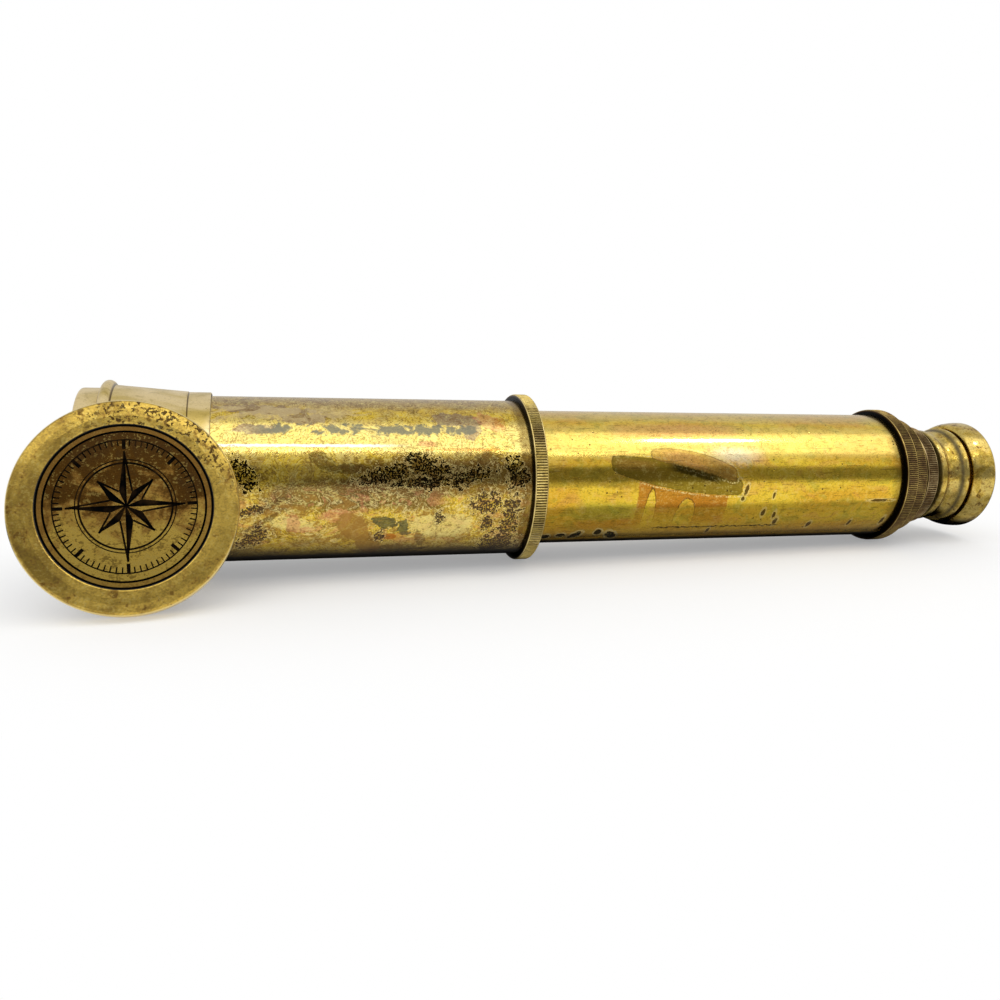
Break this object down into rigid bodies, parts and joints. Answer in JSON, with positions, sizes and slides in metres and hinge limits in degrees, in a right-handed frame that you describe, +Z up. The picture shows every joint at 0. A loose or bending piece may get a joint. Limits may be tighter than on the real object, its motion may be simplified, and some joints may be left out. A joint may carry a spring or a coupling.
{
  "type": "draw telescope",
  "caption": "Brass hand telescope with nested draw tubes, knurled collars, flared objective end, belled eyecup and a loose lens cap leaning beside it.",
  "frame": {"origin": "on the resting surface, under the middle of the model's bounding box", "axes": "+X along the telescope towards the eyepiece, level; +Z up; the cap leans on the side that faces -Y"},
  "size_m": [0.3206, 0.0746, 0.0593],
  "materials": {
    "barrel_brass": "aged, heat tinted and speckled with dark tarnish",
    "housing_brass": "pale satin, rubbed and smudged",
    "collar_brass": "straight knurled, satin",
    "dark_collar_brass": "straight knurled, brown patina with bright edges",
    "draw_brass": "polished yellow with pits and greenish speckle",
    "eyepiece_brass": "polished with brown pits",
    "cap_brass": "matte, pitted",
    "medallion_brass": "brown amber patina",
    "ring_brass": "turned",
    "blackened_brass": "matte black",
    "lens_glass": "polished, clear"
  },
  "bodies": {
    "barrel": {"barrel_tube": "barrel_brass", "objective_housing": "housing_brass", "barrel_band": "housing_brass", "objective_cell": "ring_brass", "crown_lens": "lens_glass", "flint_lens": "lens_glass", "objective_ring": "ring_brass", "barrel_collar": "collar_brass"},
    "draw_1": {"draw_1_tube": "draw_brass", "draw_1_stop_ring": "ring_brass", "draw_1_collar": "dark_collar_brass"},
    "draw_2": {"draw_2_tube": "draw_brass", "draw_2_stop_ring": "ring_brass", "draw_2_collar": "dark_collar_brass"},
    "draw_3": {"draw_3_tube": "draw_brass", "draw_3_stop_ring": "ring_brass", "draw_3_collar": "dark_collar_brass"},
    "draw_4": {"draw_4_tube": "draw_brass", "draw_4_stop_ring": "ring_brass", "erector_tube": "ring_brass", "erector_front_lens": "lens_glass", "erector_front_ring": "ring_brass", "erector_stop": "blackened_brass", "erector_rear_lens": "lens_glass", "erector_rear_ring": "ring_brass", "eyepiece_body": "eyepiece_brass", "eyecup": "eyepiece_brass", "field_lens": "lens_glass", "field_stop": "blackened_brass", "eye_lens_cell": "ring_brass", "eye_lens": "lens_glass", "eye_lens_ring": "ring_brass"},
    "cap": {"cap_shell": "cap_brass", "cap_medallion": "medallion_brass"}
  },
  "joints": [
    {"name": "draw_1_slide", "type": "slide", "parent": "barrel", "child": "draw_1", "axis": [0.9997, 0, -0.0236], "range_m": [-0.1137, 0]},
    {"name": "draw_2_slide", "type": "slide", "parent": "draw_1", "child": "draw_2", "axis": [0.9997, 0, -0.0236], "range_m": [-0.0017, 0.1288]},
    {"name": "draw_3_slide", "type": "slide", "parent": "draw_2", "child": "draw_3", "axis": [0.9997, 0, -0.0236], "range_m": [-0.0028, 0.1283]},
    {"name": "draw_4_slide", "type": "slide", "parent": "draw_3", "child": "draw_4", "axis": [0.9997, 0, -0.0236], "range_m": [-0.0025, 0.1271]},
    {"name": "cap_lift", "type": "slide", "parent": "barrel", "child": "cap", "axis": [0.0574, -0.9391, 0.3387], "range_m": [0, 0.12]}
  ]
}
